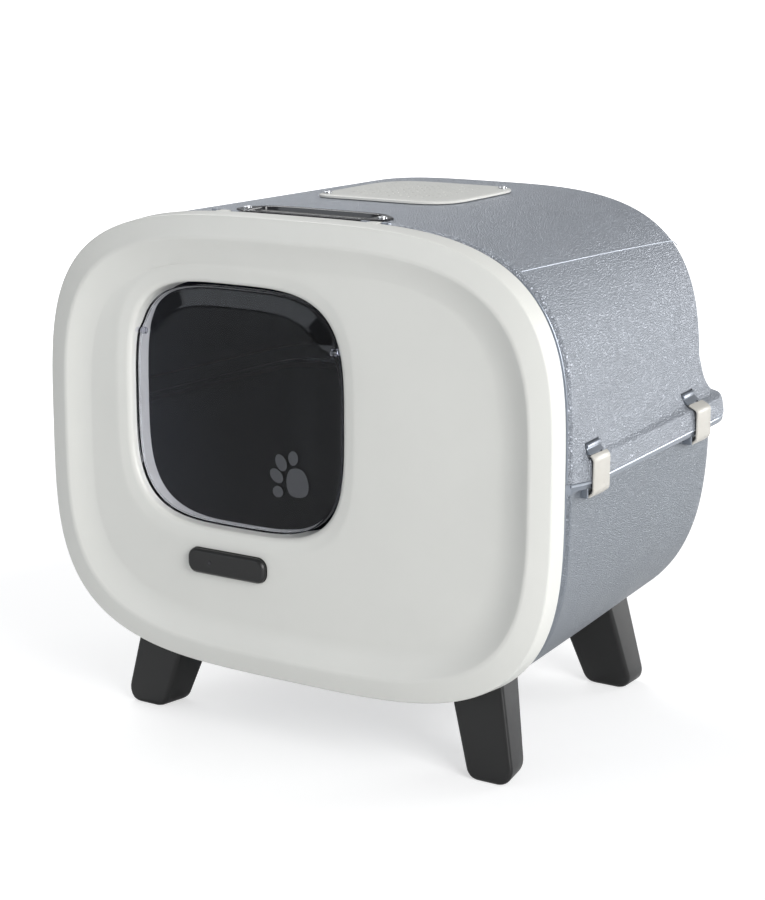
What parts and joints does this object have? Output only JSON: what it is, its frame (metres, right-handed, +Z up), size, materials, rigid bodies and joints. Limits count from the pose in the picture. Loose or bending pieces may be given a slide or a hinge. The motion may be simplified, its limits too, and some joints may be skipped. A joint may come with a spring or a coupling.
{
  "type": "hooded cat litter box",
  "caption": "Hooded cat litter box: rounded rim front panel with a clear swing flap and latch button, leather-grained hood, clipped tub, splayed legs.",
  "frame": {"origin": "bottom centre of the bounding box, on the floor under the middle of the box", "axes": "+Z up, +X to the right seen from the front, the front panel and its way in face -Y"},
  "size_m": [0.5598, 0.4068, 0.5031],
  "materials": {
    "cream_plastic": "fine satin moulding, warm off-white",
    "blue_grey_plastic": "leather-grained, faintly metallic blue-grey",
    "blue_grey_tray": "fine-grained satin blue-grey",
    "black_plastic": "satin black",
    "black_gloss": "glossy black",
    "smoked_clear": "clear lightly smoked polycarbonate",
    "clip_plastic": "satin beige",
    "steel": "bright",
    "carbon_pad": "matt activated-carbon felt"
  },
  "bodies": {
    "base": {"base_tray": "blue_grey_tray", "leg_front_left": "black_plastic", "leg_front_right": "black_plastic", "leg_rear_left": "black_plastic", "leg_rear_right": "black_plastic", "clip_pin_front_left": "steel", "clip_pin_front_right": "steel", "clip_pin_rear_left": "steel", "clip_pin_rear_right": "steel"},
    "hood": {"hood_shell": "blue_grey_plastic", "handle_well": "black_gloss", "handle_screw_left": "steel", "handle_screw_right": "steel", "handle_pin_left": "steel", "handle_pin_right": "steel", "filter_cage": "black_plastic", "clip_catch_front_left": "blue_grey_plastic", "clip_catch_front_right": "blue_grey_plastic", "clip_catch_rear_left": "blue_grey_plastic", "clip_catch_rear_right": "blue_grey_plastic", "panel_hinge_pin_left": "steel", "panel_hinge_pin_right": "steel"},
    "panel": {"front_panel": "cream_plastic", "latch_housing": "cream_plastic", "latch_axle": "steel"},
    "flap": {"entry_flap": "smoked_clear"},
    "latch_button": {"latch_button": "black_plastic"},
    "latch_catch": {"latch_catch": "black_plastic"},
    "handle": {"carry_handle": "black_plastic"},
    "vent": {"vent_cover": "cream_plastic", "vent_screw_front": "steel", "vent_screw_rear": "steel"},
    "filter": {"carbon_filter": "carbon_pad"},
    "clip_front_left": {"clip_front_left": "clip_plastic"},
    "clip_front_right": {"clip_front_right": "clip_plastic"},
    "clip_rear_left": {"clip_rear_left": "clip_plastic"},
    "clip_rear_right": {"clip_rear_right": "clip_plastic"}
  },
  "joints": [
    {"name": "hood_lift", "type": "slide", "parent": "base", "child": "hood", "axis": [0, 0, 1], "range_m": [0, 0.3]},
    {"name": "panel_swing", "type": "hinge", "parent": "hood", "child": "panel", "pos_m": [0, -0.1734, 0.493], "axis": [-1, 0, 0], "range_deg": [0, 95]},
    {"name": "flap_swing", "type": "hinge", "parent": "panel", "child": "flap", "pos_m": [-0.062, -0.1841, 0.3785], "axis": [1, 0, 0], "range_deg": [-75, 75]},
    {"name": "latch_press", "type": "slide", "parent": "panel", "child": "latch_button", "axis": [0, 1, 0], "range_m": [0, 0.003], "stiffness_N_per_m": 300, "springref_m": -0.001},
    {"name": "latch_turn", "type": "hinge", "parent": "panel", "child": "latch_catch", "pos_m": [-0.068, -0.1814, 0.19], "axis": [1, 0, 0], "range_deg": [0, 8]},
    {"name": "handle_raise", "type": "hinge", "parent": "hood", "child": "handle", "pos_m": [0, -0.1616, 0.49214], "axis": [1, 0, 0], "range_deg": [0, 95]},
    {"name": "vent_lift", "type": "slide", "parent": "hood", "child": "vent", "axis": [0, 0, 1], "range_m": [0, 0.2]},
    {"name": "filter_lift", "type": "slide", "parent": "hood", "child": "filter", "axis": [0, 0, 1], "range_m": [0, 0.15]},
    {"name": "clip_front_left_swing", "type": "hinge", "parent": "base", "child": "clip_front_left", "pos_m": [-0.27265, -0.1256, 0.2722], "axis": [0, -1, 0], "range_deg": [0, 110]},
    {"name": "clip_front_right_swing", "type": "hinge", "parent": "base", "child": "clip_front_right", "pos_m": [0.27265, -0.1256, 0.2722], "axis": [0, 1, 0], "range_deg": [0, 110]},
    {"name": "clip_rear_left_swing", "type": "hinge", "parent": "base", "child": "clip_rear_left", "pos_m": [-0.26205, 0.1104, 0.2722], "axis": [0, -1, 0], "range_deg": [0, 110]},
    {"name": "clip_rear_right_swing", "type": "hinge", "parent": "base", "child": "clip_rear_right", "pos_m": [0.26205, 0.1104, 0.2722], "axis": [0, 1, 0], "range_deg": [0, 110]}
  ],
  "couplings": [
    {"joint": "latch_turn", "follows": "latch_press", "rad_per_m": 44.4}
  ]
}
